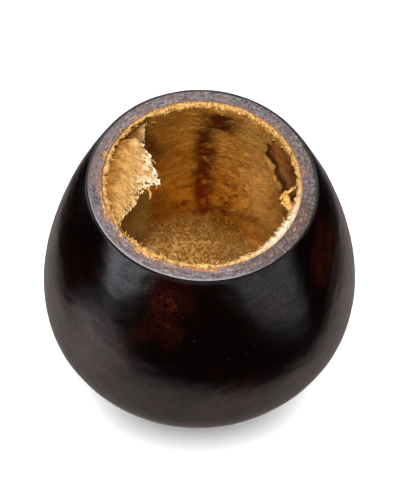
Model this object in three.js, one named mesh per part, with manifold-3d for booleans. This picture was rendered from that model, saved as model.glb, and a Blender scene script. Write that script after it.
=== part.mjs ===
// A dried bottle gourd, cut open across the neck to make a cup: the hard, dark rind,
// and inside it the dried pith, torn in two places, with one torn sheet hanging into the mouth.
// Millimetres, +Z up. The origin is the middle of the foot, and +Y points to the back of the cup.
import * as THREE from "three";
import { mergeVertices } from "three/addons/utils/BufferGeometryUtils.js";
import Module from "manifold-3d";

// Body
const BODY_RADIUS = 50;
const WIDEST_HEIGHT = 32.1;
const BELLY_DEPTH = 33; // from the widest ring down to the rounded bottom, which the foot cuts flat
const BELLY_ROUNDNESS = 2.3; // exponent of the belly's curve: 2 is an ellipse
const SHOULDER_HEIGHT = 99.2; // from the widest ring up to where the uncut neck would close
const SHOULDER_ROUNDNESS = 1.6;
const SHOULDER_FULLNESS = 1.29;
const SHOULDER_SPAN = 72; // how far above the widest ring the outline is followed
const OVALNESS = 0.006; // the body is this much wider on one diagonal than on the other
const OVAL_ANGLE = THREE.MathUtils.degToRad(35);

// Mouth: a flat saw cut that dips to the right
const MOUTH_HEIGHT = 87.8;
const MOUTH_DIP = 0.056;
const RIM_EDGE = 0.5; // worn bevel on the outer edge of the cut

// Walls
const RIND_WALL = 4.1;
const PITH_GAP = 0.3;
const PITH_WALL = 1.5;
const BED_DEPTH = 3.6; // extra pith that lies over the bottom
const BED_RADIUS = 36;
const BED_EDGE = 5; // width of the slope at the edge of the bed
const PITH_RELIEF = 0.7;
const PITH_EDGE_DROP = 0.5; // the pith stops this far under the saw cut
const PITH_EDGE_RAGGED = 0.35;

// Torn places in the pith, as a middle (angle, height) and half sizes
const RIGHT_TEAR = { angle: 44, height: 49, halfAngle: 17, halfHeight: 20, seed: 3 };
const LEFT_TEAR = { angle: 174, height: 72, halfAngle: 34, halfHeight: 10, seed: 8 };
const TEAR_POINTS = 30;
const TEAR_RAGGED = 0.09;
const TEAR_INNER_RADIUS = 24;
const TEAR_OUTER_RADIUS = 56;

// The loose sheet of pith: how far it reaches into the mouth at each angle round the axis
const SHEET_REACH = [
  [134, 2.5], [140, 8], [150, 11.5], [167, 15.5], [178, 14.5], [187, 9.5], [203, 5.5], [210, 2],
];
const SHEET_THICKNESS = 1.2;
const SHEET_ROOT_DROP = 2.6; // under the saw cut
const SHEET_ROOT_SUNK = 1; // how far the root is sunk into the pith under the rim
const SHEET_FALL = 0.42; // drop for each millimetre of reach
const SHEET_CURL = 1.8; // how much the middle of the sheet bellies upwards
const SHEET_RAGGED = 0.7;
const SHEET_STEPS = [46, 7];

// A crumb of pith left under the rim on the right
const CRUMB = { angle: -6, drop: 4.6, size: [2.4, 3.4, 2.6], sunk: 0.6 };

// Mesh density
const SIDES = 64;
const OUTER_ROWS = 30;
const INNER_ROWS = 12;
const PITH_ROWS = 24;
const BACK_ROWS = 12;
const WELD = 0.02; // edges shorter than this are closed up after the joins

const wasm = await Module();
wasm.setup();

// The gourd's outline from the bottom of the belly to above the saw cut, as (radius, height).
class GourdOutline extends THREE.Curve {
  getPoint(t, target = new THREE.Vector2()) {
    if (t < 0.5) {
      const angle = Math.PI * t;
      const power = 2 / BELLY_ROUNDNESS;
      const radius = BODY_RADIUS * Math.sin(angle) ** power;
      return target.set(radius, WIDEST_HEIGHT - BELLY_DEPTH * Math.cos(angle) ** power);
    }
    const rise = (2 * t - 1) * SHOULDER_SPAN;
    const narrowing = 1 - (rise / SHOULDER_HEIGHT) ** SHOULDER_ROUNDNESS;
    const radius = BODY_RADIUS * narrowing ** (1 / SHOULDER_FULLNESS);
    return target.set(radius, WIDEST_HEIGHT + rise);
  }
}

const outline = new GourdOutline();
outline.arcLengthDivisions = 1200;

// A point of the wall: share is its place along the outline, depth its distance in from the skin.
function wallPoint(share, depth) {
  const point = outline.getPointAt(share);
  const tangent = outline.getTangentAt(share);
  return new THREE.Vector2(point.x - depth * tangent.y, point.y + depth * tangent.x);
}

const cutHeight = (x) => MOUTH_HEIGHT - MOUTH_DIP * x;

// The share of the outline at which a layer of the wall meets the saw cut, or a level below it.
function cutShare(depth, angle, below = 0) {
  let low = 0.5;
  let high = 1;
  for (let step = 0; step < 24; step++) {
    const middle = (low + high) / 2;
    const point = wallPoint(middle, depth);
    if (point.y < cutHeight(point.x * Math.cos(angle)) - below) low = middle;
    else high = middle;
  }
  return low;
}

// Waves that give the dried pith its uneven surface, from -1 to 1.
function pithWaves(angle, point) {
  const x = point.x * Math.cos(angle);
  const y = point.x * Math.sin(angle);
  const coarse = Math.sin(0.31 * x + 0.17 * y) * Math.cos(0.29 * y - 0.12 * x + 0.35 * point.y);
  const fine = Math.sin(0.62 * x - 0.41 * point.y + 1) * Math.sin(0.58 * y + 0.47 * point.y);
  return 0.6 * coarse + 0.4 * fine;
}

const ragged = (angle) => Math.sin(13 * angle) * Math.cos(29 * angle + 1) + 0.5 * Math.sin(47 * angle);

function pithThickness(angle, share) {
  const point = outline.getPointAt(share);
  const bed = THREE.MathUtils.smoothstep(BED_RADIUS - point.x, 0, BED_EDGE);
  const onBelly = point.y < WIDEST_HEIGHT ? bed * BED_DEPTH : 0;
  return PITH_WALL + onBelly + PITH_RELIEF * pithWaves(angle, point);
}

// Turns rows of points round the axis. A row is a function of the angle that gives (radius, height).
function turned(rows) {
  const profile = rows.map((row, index) => new THREE.Vector2(index % (rows.length - 1) ? 1 : 0, index));
  const geometry = new THREE.LatheGeometry(profile, SIDES).rotateX(Math.PI / 2);
  const position = geometry.attributes.position;
  for (let side = 0; side <= SIDES; side++) {
    const angle = ((side % SIDES) / SIDES) * 2 * Math.PI;
    const oval = 1 + OVALNESS * Math.cos(2 * (angle - OVAL_ANGLE));
    rows.forEach((row, index) => {
      const point = row(angle);
      const radius = index % (rows.length - 1) ? point.x * oval : 0;
      const vertex = side * rows.length + index;
      position.setXYZ(vertex, radius * Math.cos(angle), radius * Math.sin(angle), point.y);
    });
  }
  return geometry;
}

const count = (rows, make) => Array.from({ length: rows }, (_, index) => make(index));

// Joins and cuts need shared vertices and no flat slivers at the poles.
function solid(geometry) {
  const bare = new THREE.BufferGeometry().setAttribute("position", geometry.attributes.position);
  bare.setIndex(geometry.index);
  const merged = mergeVertices(bare, 1e-3);
  const corners = merged.index.array;
  const kept = [];
  for (let i = 0; i < corners.length; i += 3) {
    const [a, b, c] = corners.subarray(i, i + 3);
    if (a !== b && b !== c && c !== a) kept.push(a, b, c);
  }
  return new wasm.Manifold(new wasm.Mesh({
    numProp: 3,
    vertProperties: merged.attributes.position.array,
    triVerts: new Uint32Array(kept),
  }));
}

function geometryOf(body) {
  const mesh = body.getMesh();
  const geometry = new THREE.BufferGeometry();
  geometry.setAttribute("position", new THREE.BufferAttribute(mesh.vertProperties, 3));
  geometry.setIndex(new THREE.BufferAttribute(mesh.triVerts, 1));
  geometry.computeVertexNormals();
  return geometry;
}

// The hard rind: skin, flat foot, saw-cut rim and smooth inner wall.
function makeRind() {
  const skin = (share) => (angle) => {
    const point = wallPoint(share * cutShare(0, angle, RIM_EDGE), 0);
    return point.setY(Math.max(point.y, 0));
  };
  const inside = (share) => (angle) => wallPoint(share * cutShare(RIND_WALL, angle), RIND_WALL);
  const rimEdge = (angle) => wallPoint(cutShare(RIM_EDGE, angle), RIM_EDGE);
  return geometryOf(solid(turned([
    ...count(OUTER_ROWS + 1, (row) => skin(row / OUTER_ROWS)),
    rimEdge,
    ...count(INNER_ROWS + 1, (row) => inside(1 - row / INNER_ROWS)),
  ])));
}

// The pith as it grew: against the rind all round, thicker over the bottom.
function makePithLayer() {
  const backDepth = RIND_WALL + PITH_GAP;
  const top = (angle, depth) =>
    cutShare(depth, angle, PITH_EDGE_DROP + PITH_EDGE_RAGGED * (1 + ragged(angle)));
  const back = (share) => (angle) => wallPoint(share * top(angle, backDepth), backDepth);
  const face = (share) => (angle) => {
    const along = share * top(angle, backDepth + PITH_WALL);
    return wallPoint(along, backDepth + pithThickness(angle, along));
  };
  return solid(turned([
    ...count(BACK_ROWS + 1, (row) => back(row / BACK_ROWS)),
    ...count(PITH_ROWS + 1, (row) => face(1 - row / PITH_ROWS)),
  ]));
}

// A tear is a ragged outline drawn on the wall (degrees across, millimetres up) and cut straight through it.
function tearCutter({ angle, height, halfAngle, halfHeight, seed }) {
  const points = count(TEAR_POINTS, (index) => {
    const turn = (index / TEAR_POINTS) * 2 * Math.PI;
    const edge = 1 + TEAR_RAGGED * (Math.sin(5 * turn + seed) + Math.sin(11 * turn + 2 * seed));
    return new THREE.Vector2(halfAngle * edge * Math.cos(turn), halfHeight * edge * Math.sin(turn));
  });
  const depth = TEAR_OUTER_RADIUS - TEAR_INNER_RADIUS;
  const geometry = new THREE.ExtrudeGeometry(new THREE.Shape(points), { depth, bevelEnabled: false });
  const position = geometry.attributes.position;
  for (let i = 0; i < position.count; i++) {
    const turn = THREE.MathUtils.degToRad(angle + position.getX(i));
    const radius = TEAR_INNER_RADIUS + position.getZ(i);
    position.setXYZ(i, radius * Math.cos(turn), radius * Math.sin(turn), height + position.getY(i));
  }
  return solid(geometry);
}

// The loose sheet: a thin slab bent round the rim, with its free edge torn.
function makeSheet() {
  const edge = new THREE.SplineCurve(SHEET_REACH.map(([angle, reach]) => new THREE.Vector2(angle, reach)));
  const geometry = new THREE.BoxGeometry(1, 1, 1, ...SHEET_STEPS, 1);
  const position = geometry.attributes.position;
  const rootDepth = RIND_WALL + PITH_GAP + PITH_WALL - SHEET_ROOT_SUNK;
  for (let i = 0; i < position.count; i++) {
    const along = edge.getPoint(0.5 + position.getX(i));
    const outwards = 0.5 + position.getY(i);
    const angle = THREE.MathUtils.degToRad(along.x);
    const root = wallPoint(cutShare(rootDepth, angle, SHEET_ROOT_DROP), rootDepth);
    const reach = outwards * (along.y + SHEET_RAGGED * ragged(angle) * outwards);
    const belly = SHEET_CURL * Math.sin(Math.PI * outwards) * (along.y / BODY_RADIUS) * 3;
    const height = root.y - SHEET_FALL * reach + belly + SHEET_THICKNESS * position.getZ(i);
    const radius = root.x - reach;
    position.setXYZ(i, radius * Math.cos(angle), radius * Math.sin(angle), height);
  }
  return solid(geometry);
}

function makeCrumb() {
  const angle = THREE.MathUtils.degToRad(CRUMB.angle);
  const depth = RIND_WALL + PITH_GAP + PITH_WALL + CRUMB.sunk;
  const place = wallPoint(cutShare(depth, angle, CRUMB.drop), depth);
  const geometry = new THREE.IcosahedronGeometry(1, 1).scale(...CRUMB.size).rotateZ(angle);
  return solid(geometry.translate(place.x * Math.cos(angle), place.x * Math.sin(angle), place.y));
}

function makePith() {
  const torn = makePithLayer().subtract(tearCutter(RIGHT_TEAR)).subtract(tearCutter(LEFT_TEAR));
  return geometryOf(torn.add(makeSheet()).add(makeCrumb()).simplify(WELD));
}

const rindFinish = new THREE.MeshStandardMaterial({ color: 0x2a130b, roughness: 0.3, metalness: 0 });
const pithFinish = new THREE.MeshStandardMaterial({ color: 0xc9974e, roughness: 0.95, metalness: 0 });

const rind = new THREE.Mesh(makeRind(), rindFinish);
rind.name = "rind";
const pith = new THREE.Mesh(makePith(), pithFinish);
pith.name = "pith_lining";

const gourd = new THREE.Group();
gourd.add(rind, pith);

export default gourd;
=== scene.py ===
"""Dried bottle gourd cut open as a cup: the fine rind and pith, their finishes, and the studio."""

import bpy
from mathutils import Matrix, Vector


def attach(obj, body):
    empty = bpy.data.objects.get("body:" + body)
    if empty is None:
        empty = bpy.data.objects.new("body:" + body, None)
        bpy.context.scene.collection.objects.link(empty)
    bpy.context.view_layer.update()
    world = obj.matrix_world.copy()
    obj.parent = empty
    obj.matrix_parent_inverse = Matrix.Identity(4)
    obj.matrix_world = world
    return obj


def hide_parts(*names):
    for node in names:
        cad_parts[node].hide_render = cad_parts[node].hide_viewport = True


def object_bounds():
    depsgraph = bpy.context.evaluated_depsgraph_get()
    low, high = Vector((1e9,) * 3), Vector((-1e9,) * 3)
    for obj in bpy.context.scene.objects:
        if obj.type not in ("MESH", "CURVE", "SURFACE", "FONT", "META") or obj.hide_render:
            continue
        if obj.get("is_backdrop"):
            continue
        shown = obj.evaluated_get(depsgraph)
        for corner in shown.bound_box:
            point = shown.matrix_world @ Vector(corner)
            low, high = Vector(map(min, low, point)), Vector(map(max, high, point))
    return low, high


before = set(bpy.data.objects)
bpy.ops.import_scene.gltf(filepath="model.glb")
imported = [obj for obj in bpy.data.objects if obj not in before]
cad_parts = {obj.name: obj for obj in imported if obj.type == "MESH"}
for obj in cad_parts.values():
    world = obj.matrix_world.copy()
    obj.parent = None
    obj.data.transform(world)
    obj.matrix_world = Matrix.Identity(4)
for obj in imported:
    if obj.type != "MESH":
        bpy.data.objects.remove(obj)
CAD_BOX = [list(corner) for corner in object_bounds()]

import math

import bpy
import numpy as np
from bpy.props import FloatProperty, FloatVectorProperty, IntProperty, PointerProperty
from mathutils import Vector, noise

bl_info = {
    "name": "Dried Bottle Gourd",
    "version": (1, 0, 0),
    "blender": (4, 5, 0),
    "location": "View3D > Sidebar > Gourd",
    "description": "Builds a dried gourd cup with a lacquered rind and torn pith, and a studio for it",
    "category": "Add Mesh",
}

# The gourd's outline: curve exponents and lengths that shape the body, in millimetres
BELLY_ROUNDNESS = 2.3
SHOULDER_HEIGHT = 99.2
SHOULDER_ROUNDNESS = 1.6
SHOULDER_FULLNESS = 1.29
SHOULDER_SPAN = 72.0
OVALNESS = 0.006
OVAL_ANGLE = math.radians(35)
RIM_EDGE = 0.5

# Torn places in the pith: middle and half sizes, degrees round the axis and millimetres up
RIGHT_TEAR = {"angle": 44, "height": 50, "half_angle": 14, "half_height": 24, "seed": 1}
LEFT_TEAR = {"angle": 174, "height": 72, "half_angle": 34, "half_height": 10, "seed": 8}
TEAR_RAGGED = 0.07

# Angles of what is seen on the pith, in degrees round the axis
PALE_LIP = -33
FRONT_LIP = -95
DARK_STAIN = 86
FLUFFY_LIP = 104
CRACK = 138
LACE = 163
NOTCH = 219
BED_SHORT = 48
GROOVE = 64
TEAR_LIFT = 42

# Fibres on the wall stand in these places: angle, height, and their reach in degrees and millimetres
FIBRE_SPOTS = ((66, 58, 9, 5), (52, 74, 9, 4), (58, 17, 8, 4), (96, 80, 16, 3))

# The loose sheet: angle of its root, angle of its torn edge, and reach into the mouth
SHEET_EDGE = [
    (149, 135.1, 4.7), (152, 139.4, 8.0), (155, 140.5, 9.9), (160, 147, 12.2), (164, 149.5, 14.0),
    (171, 161, 15.9), (178, 168, 13.9), (184, 179, 11.8), (189, 184, 10.9), (194, 191, 10.2),
    (199, 196.5, 8.6), (204, 201, 7.0), (208, 205.5, 4.6), (212, 210, 2.4), (215, 214, 0.7),
]

# The folded top of the pith behind the sheet, given the same way
FOLD_EDGE = [
    (124, 125.5, 0.3), (131, 127.5, 0.9), (137, 129.8, 2.1), (143, 132.5, 3.5), (149.5, 135.4, 4.7),
]

# Torn strands: points of angle, radius, height and half width
STRANDS = [
    [(7, 29.2, 79.8, 0.4), (4, 26.8, 80.2, 0.5), (0.5, 25.2, 80, 0.8), (-4, 25.5, 80, 1.05),
     (-9, 27, 80.5, 1.05), (-14, 28.8, 81.5, 0.9)],
    [(2, 25.8, 80.8, 0.5), (-3, 25.6, 81, 0.9), (-7, 26.3, 81, 0.8), (-12, 27.8, 81.4, 0.6)],
    [(160, 18, 80.4, 0.4), (166, 15.8, 79.2, 0.5), (172, 14.9, 77.9, 0.4), (177, 14.9, 76.9, 0.15)],
    [(126, 29.6, 82.6, 0.2), (128.5, 28.6, 82.6, 0.35), (131, 27.2, 82.2, 0.3), (134, 25.4, 82, 0.25)],
]

# Places where the stain on the skin is thin and shows red: middle and reach, in metres
THIN_STAIN = [
    ((-0.0085, -0.0382, 0.076), 0.013),
    ((-0.0106, -0.041, 0.0673), 0.012),
    ((-0.0078, -0.0353, 0.0826), 0.01),
    ((0.0215, -0.0345, 0.0721), 0.006),
    ((0.0396, -0.0144, 0.0681), 0.015),
    ((0.037, -0.011, 0.0772), 0.013),
    ((-0.0259, -0.0368, 0.0593), 0.014),
    ((0.037, 0.022, 0.06), 0.016),
    ((-0.03, 0.034, 0.055), 0.018),
]

# Painted light and shade on the wall, laid on in this order: each covers a range across (x) or up (z), in
# metres and shares
WALL_LIGHT_AND_SHADE = (
    # Painted light: upper wall, right wall and upper right wall made paler, where the light reaches
    {"z": (0.035, 0.062, 0, 0.6), "colour": (0.95, 0.42, 0.06)},
    {"x": (0.006, 0.022, 0, 0.5), "z": (0.009, 0.018), "colour": (0.98, 0.53, 0.14)},
    {"x": (0.01, 0.02, 0, 0.7), "z": (0.05, 0.066), "colour": (0.99, 0.52, 0.1)},
    # Painted shade: lower wall, left wall and the right corner of the bottom made darker, where they lie
    # deeper
    {"z": (0.056, 0.014, 0, 0.85), "x": (0.022, 0.01, 0.2, 1.0), "colour": (0.28, 0.08, 0.003)},
    {"x": (0.004, -0.012, 0, 0.55), "colour": (0.29, 0.08, 0.003)},
    {"x": (0.004, 0.014, 0, 0.8), "z": (0.0155, 0.011), "colour": (0.16, 0.038, 0.001)},
    # Painted light: the wall behind the loose sheet made paler where the sheet shades it
    {"x": (-0.014, -0.023, 0, 0.95), "colour": (0.98, 0.54, 0.11)},
)

# Shades of bare rind, granules and loose pith: dark and pale. The low bare rind's shades are paler as painted
# light, the back granules' darker as painted shade and the front granules' paler as painted light
BARE_SHADES = ((0.22, 0.065, 0.01), (0.72, 0.28, 0.06))
LIT_LOW_BARE_SHADES = ((0.6, 0.25, 0.07), (0.98, 0.55, 0.2))
SHADED_BACK_GRANULES = ((0.29, 0.12, 0.014), (0.52, 0.27, 0.075))
LIT_FRONT_GRANULES = ((0.45, 0.22, 0.046), (0.68, 0.395, 0.13))
STRAND_SHADES = ((0.45, 0.16, 0.02), (0.88, 0.52, 0.17))
FLUFF_SHADES = ((0.65, 0.3, 0.06), (0.92, 0.6, 0.24))
FIBRE_SHADES = ((0.45, 0.165, 0.012), (0.84, 0.46, 0.12))

# Surfaces of the rind, in the order of its materials
SKIN, SAWN, INSIDE = 0, 1, 2

# Scattering: most points on a square metre, and a full turn in radians
MOST_POINTS = 4e6
FULL_TURN = 6.28

# Lights: where they hang, where they point, and their sizes in metres and degrees
KEY_SPOT, KEY_SIZE = (0.0, -0.31, 0.95), (0.16, 0.38)
SNOOT_SPOT, SNOOT_AIM = (-0.03, -0.64, 0.76), (0.0, 0.008, 0.077)
SNOOT_ANGLE, SNOOT_SIZE = 9.5, 0.05

# Reflection card: middle of its pale patch, and its bright panels. A panel has two edges (direction,
# distance and softness), a strength, and the distances where its light begins and is full
CARD_PATCH = (-0.108, -0.068, 0)
CARD_PANELS = (
    ((-81, 0.062, 0.024), (153, 0.1, 0.045), 2.2, 0.12, 0.34),
    ((-106, 0.02, 0.012), (15.5, 0.086, 0.033), 0.74, 0.07, 0.24),
    ((78, 0.14, 0.03), (20, 0.06, 0.04), 0.9, 0.12, 0.34),
    ((102, 0.14, 0.03), (165, 0.06, 0.04), 1.1, 0.12, 0.34),
)


def length(name, default, description):
    return FloatProperty(name=name, description=description, default=default, unit="LENGTH", precision=5)


def amount(name, default, description, **kind):
    return FloatProperty(name=name, description=description, default=default, **kind)


def colour(name, default, description):
    return FloatVectorProperty(
        name=name, description=description, default=default, subtype="COLOR", size=3, min=0, max=1
    )


class GourdShape(bpy.types.PropertyGroup):
    """Sizes of the gourd."""

    body_radius: length("Body radius", 0.05, "Radius of the gourd at its widest ring")
    widest_height: length("Widest height", 0.0321, "Height of the widest ring over the foot")
    belly_depth: length("Belly depth", 0.033, "From the widest ring to the bottom that the foot cuts flat")
    mouth_height: length("Mouth height", 0.0878, "Height of the saw cut on the axis")
    mouth_dip: amount("Mouth dip", 0.056, "Slope of the saw cut towards +X")
    rind_wall: length("Rind wall", 0.0041, "Thickness of the hard rind")
    pith_gap: length("Pith gap", 0.0003, "Gap between the rind and the pith")
    pith_wall: length("Pith wall", 0.0015, "Thickness of the pith on the wall")
    bed_depth: length("Bed depth", 0.0036, "Extra pith over the bottom")
    bed_radius: length("Bed radius", 0.036, "Radius at which the bed of pith begins")
    sheet_thickness: length("Sheet thickness", 0.0007, "Thickness of the loose sheet of pith")
    sheet_fall: amount("Sheet fall", 0.42, "Drop of the loose sheet for its reach")
    granule_spacing: length("Granule spacing", 0.00102, "Least distance between granules of the bed")
    granule_size: length("Granule size", 0.001, "Radius of the largest granules")
    fibre_length: length("Fibre length", 0.002, "Length of the longest loose fibres")
    fibre_radius: length("Fibre radius", 0.0001, "Radius of a loose fibre")
    seed: IntProperty(name="Seed", description="Seed of everything scattered", default=7)


class GourdFinish(bpy.types.PropertyGroup):
    """Colours of the gourd."""

    lacquer_dark: colour("Lacquer dark", (0.0013, 0.0003, 0.0002), "Darkest stain under the lacquer")
    lacquer_red: colour("Lacquer red", (0.015, 0.0017, 0.0003), "Red-brown clouds in the stain")
    lacquer_amber: colour("Lacquer amber", (0.054, 0.0096, 0.0012), "Thin places of the stain")
    lacquer_dust: colour("Lacquer dust", (0.16, 0.13, 0.12), "Dust on the lacquer")
    rim_grey: colour("Rim grey", (0.165, 0.138, 0.143), "Sawn rim")
    rim_dark: colour("Rim dark", (0.045, 0.034, 0.034), "Dark pores of the sawn rim")
    rim_light: colour("Rim light", (0.36, 0.335, 0.355), "Light saw streaks of the rim")
    rim_brown: colour("Rim brown", (0.17, 0.095, 0.066), "Brown clouds in the sawn rim")
    rim_chip: colour("Rim chip", (0.42, 0.3, 0.22), "Pale chips on the low side of the rim")
    # Painted highlight along the front of the rim's outer edge
    rim_edge_highlight: colour("Rim worn", (0.34, 0.34, 0.38), "Worn outer edge of the rim")
    rim_border: colour("Rim border", (0.012, 0.008, 0.007), "Lacquered outer edge of the rim")
    rim_rust: colour("Rim rust", (0.3, 0.125, 0.05), "Brown roots of the fibres in the rim")
    rim_fleck: colour("Rim fleck", (0.74, 0.39, 0.16), "Orange fibres in the sawn rim")
    # Painted shadow on the bare rind under the lifted edge of the torn pith
    bare_tear_shadow: colour("Bare grime", (0.045, 0.012, 0.002), "Dark line along the torn pith")
    pith_straw: colour("Pith straw", (0.84, 0.36, 0.045), "Pith on the wall")
    pith_amber: colour("Pith amber", (0.5, 0.155, 0.006), "Darker clouds in the pith")
    pith_stain: colour("Pith stain", (0.085, 0.007, 0.0002), "Dark stain down the back wall")
    pith_flake: colour("Pith flake", (0.99, 0.6, 0.18), "Pale flakes on the wall")
    # Painted shade in the creases between the flakes
    pith_seam_shade: colour("Pith seam", (0.3, 0.075, 0.003), "Dark seams between the flakes")
    pith_groove: colour("Pith groove", (0.12, 0.022, 0.001), "Groove round the bed of granules")
    pith_under: colour("Pith under the bed", (0.46, 0.2, 0.03), "Pith between the granules")
    pith_crust: colour("Pith crust", (0.6, 0.25, 0.04), "Darker grain of the cut edge")
    # Painted shade in the chinks of the cut edge
    pith_chink_shade: colour("Pith chink", (0.12, 0.034, 0.004), "Chinks in the cut edge")
    # Painted shade in the gap where the pith comes off the rind
    pith_crack_shade: colour("Pith crack", (0.02, 0.006, 0.0015), "Gap where the pith comes off the rind")
    pith_cream: colour("Pith cream", (0.93, 0.56, 0.19), "Cut edge of the pith")
    pith_white: colour("Pith white", (0.98, 0.83, 0.58), "Palest torn edges")
    sheet_gold: colour("Sheet gold", (0.56, 0.305, 0.088), "Loose sheet of pith")
    # Painted shade: the fold is the pith made darker where it lies in shade behind the sheet
    fold_shaded_brown: colour("Fold brown", (0.28, 0.12, 0.023), "Fold of pith behind the sheet")
    # Painted shade on the granules at the back and the right
    granule_painted_shade: colour("Granule shade", (0.16, 0.045, 0.002), "Granules at the back and the right")


class GourdStudio(bpy.types.PropertyGroup):
    """Camera and light."""

    view_height: amount("View height", math.radians(58.78), "Camera's elevation", subtype="ANGLE")
    view_distance: length("View distance", 0.5, "Camera's distance from the point that it looks at")
    aim_height: length("Aim height", 0.05005, "Height of the point that the camera looks at")
    aim_side: length("Aim side", 0.000145, "Sideways place of the point that the camera looks at")
    lens: amount("Lens", 115.63, "Focal length in millimetres")
    key: amount("Key light", 8.6, "Power of the soft light over the front", unit="POWER")
    snoot: amount("Snoot", 27.0, "Power of the narrow light into the mouth", unit="POWER")
    paper: amount("Paper glow", 0.5, "How much brighter than lit the paper shows beside the gourd")
    sky: amount("Sky", 0.4, "Strength of the room's light")
    card: amount("Reflection card", 1.0, "Strength of what the lacquer reflects")


def shape():
    return bpy.context.scene.gourd_shape


def finish():
    return bpy.context.scene.gourd_finish


def studio():
    return bpy.context.scene.gourd_studio


# Form of the gourd, in millimetres


class Outline:
    """The gourd's outline from the bottom of the belly to above the saw cut, measured along its length."""

    def __init__(self, sizes):
        t = np.linspace(0, 1, 4001)
        angle = np.pi * np.minimum(t, 0.5)
        power = 2 / BELLY_ROUNDNESS
        radius = mm(sizes.body_radius)
        widest = mm(sizes.widest_height)
        rise = np.maximum(2 * t - 1, 0) * SHOULDER_SPAN
        narrowing = (1 - (rise / SHOULDER_HEIGHT) ** SHOULDER_ROUNDNESS) ** (1 / SHOULDER_FULLNESS)
        belly = t < 0.5
        self.r = np.where(belly, radius * np.sin(angle) ** power, radius * narrowing)
        drop = mm(sizes.belly_depth) * np.clip(np.cos(angle), 0, 1) ** power
        self.z = np.where(belly, widest - drop, widest + rise)
        along = np.concatenate([[0], np.cumsum(np.hypot(np.diff(self.r), np.diff(self.z)))])
        self.length = along[-1]
        self.share = along / self.length
        slope_r = np.gradient(self.r, along)
        slope_z = np.gradient(self.z, along)
        size = np.hypot(slope_r, slope_z)
        self.tr = slope_r / size
        self.tz = slope_z / size
        self.height = mm(sizes.mouth_height)
        self.dip = sizes.mouth_dip

    def wall(self, share, depth):
        """Radius and height of a point of the wall, depth in from the skin."""
        pick = lambda values: np.interp(share, self.share, values)
        return pick(self.r) - depth * pick(self.tz), pick(self.z) + depth * pick(self.tr)

    def cut_share(self, depth, angles, below=0.0):
        """Place along the outline where a layer of the wall meets the saw cut, for each angle."""
        angles, depth, below = np.broadcast_arrays(angles, depth, below)
        upper = self.share > 0.5
        share = self.share[upper]
        found = np.empty(angles.shape)
        for i in np.ndindex(angles.shape):
            r = self.r[upper] - depth[i] * self.tz[upper]
            z = self.z[upper] + depth[i] * self.tr[upper]
            gap = z - (self.height - self.dip * r * math.cos(angles[i])) + below[i]
            found[i] = np.interp(0, gap, share)
        return found


def mm(metres):
    return metres * 1000


def oval(angles):
    return 1 + OVALNESS * np.cos(2 * (angles - OVAL_ANGLE))


def on_circle(r, angles, z):
    """Points on a true circle from radius, angle and height."""
    return np.stack([r * np.cos(angles), r * np.sin(angles), z + 0 * angles], axis=-1)


def place(r, z, angles):
    """Points on the gourd's slightly oval ring from radius, height and angle."""
    r = r * oval(angles)
    return on_circle(r, np.broadcast_to(angles, r.shape), z)


def relief(points, size, octaves=3, seed=0.0):
    """Fractal noise at each point, about -1 to 1, with lumps of the given size."""
    flat = np.asarray(points).reshape(-1, 3) / size + seed
    values = [noise.fractal(Vector(p), 0.7, 2.1, octaves) for p in flat]
    return np.array(values).reshape(np.asarray(points).shape[:-1])


def smoothstep(x, low, high):
    t = np.clip((x - low) / (high - low), 0, 1)
    return t * t * (3 - 2 * t)


def ragged(angle):
    return np.sin(13 * angle) * np.cos(29 * angle + 1) + 0.5 * np.sin(47 * angle)


def bump(x, middle, half):
    return np.exp(-(((x - middle) / half) ** 2))


def turn_from(angles, middle):
    """Degrees from a middle angle, -180 to 180."""
    return (np.degrees(angles) - middle + 180) % 360 - 180


def near_angle(angles, middle, half):
    """1 at the middle angle, falling to both sides, in degrees."""
    return bump(turn_from(angles, middle), 0, half)


def tear_field(tear, angles, z):
    """How far a point lies from the middle of a tear, as a share of the tear's edge there."""
    across = turn_from(angles, tear["angle"]) / tear["half_angle"]
    up = (z - tear["height"]) / tear["half_height"]
    turn = np.arctan2(up, across)
    edge = 1 + TEAR_RAGGED * (np.sin(5 * turn + tear["seed"]) + np.sin(11 * turn + 2 * tear["seed"]))
    edge = edge + 0.02 * np.sin(23 * turn + tear["seed"]) + 0.012 * np.sin(41 * turn)
    return np.hypot(across, up) / edge


# Meshes


def new_piece(name, points, faces, materials, face_material=None, attributes=None):
    """A mesh object at the origin from points in millimetres."""
    mesh = bpy.data.meshes.new(name)
    mesh.from_pydata((np.asarray(points) * 0.001).tolist(), [], faces)
    for material in materials:
        mesh.materials.append(material)
    mesh.polygons.foreach_set("use_smooth", [True] * len(faces))
    if face_material is not None:
        mesh.polygons.foreach_set("material_index", face_material)
    for key, values in (attributes or {}).items():
        made = mesh.attributes.new(key, "FLOAT", "POINT")
        made.data.foreach_set("value", np.asarray(values, float).ravel())
    mesh.update()
    if mesh.validate():
        raise RuntimeError(f"{name} has faces that can't be used")
    piece = bpy.data.objects.new(name, mesh)
    bpy.context.scene.collection.objects.link(piece)
    return piece


def turned_faces(rows, sides):
    """Faces of rows of points round the axis, where the first and last row are one point each."""
    index = lambda row, side: 1 + (row - 1) * sides + side % sides
    last = 1 + (rows - 2) * sides
    faces, row_of = [], []
    for row in range(rows - 1):
        for side in range(sides):
            if row == 0:
                faces.append((0, index(1, side + 1), index(1, side)))
            elif row == rows - 2:
                faces.append((index(row, side), index(row, side + 1), last))
            else:
                faces.append(
                    (index(row, side), index(row, side + 1), index(row + 1, side + 1), index(row + 1, side))
                )
            row_of.append(row)
    return faces, row_of


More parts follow.
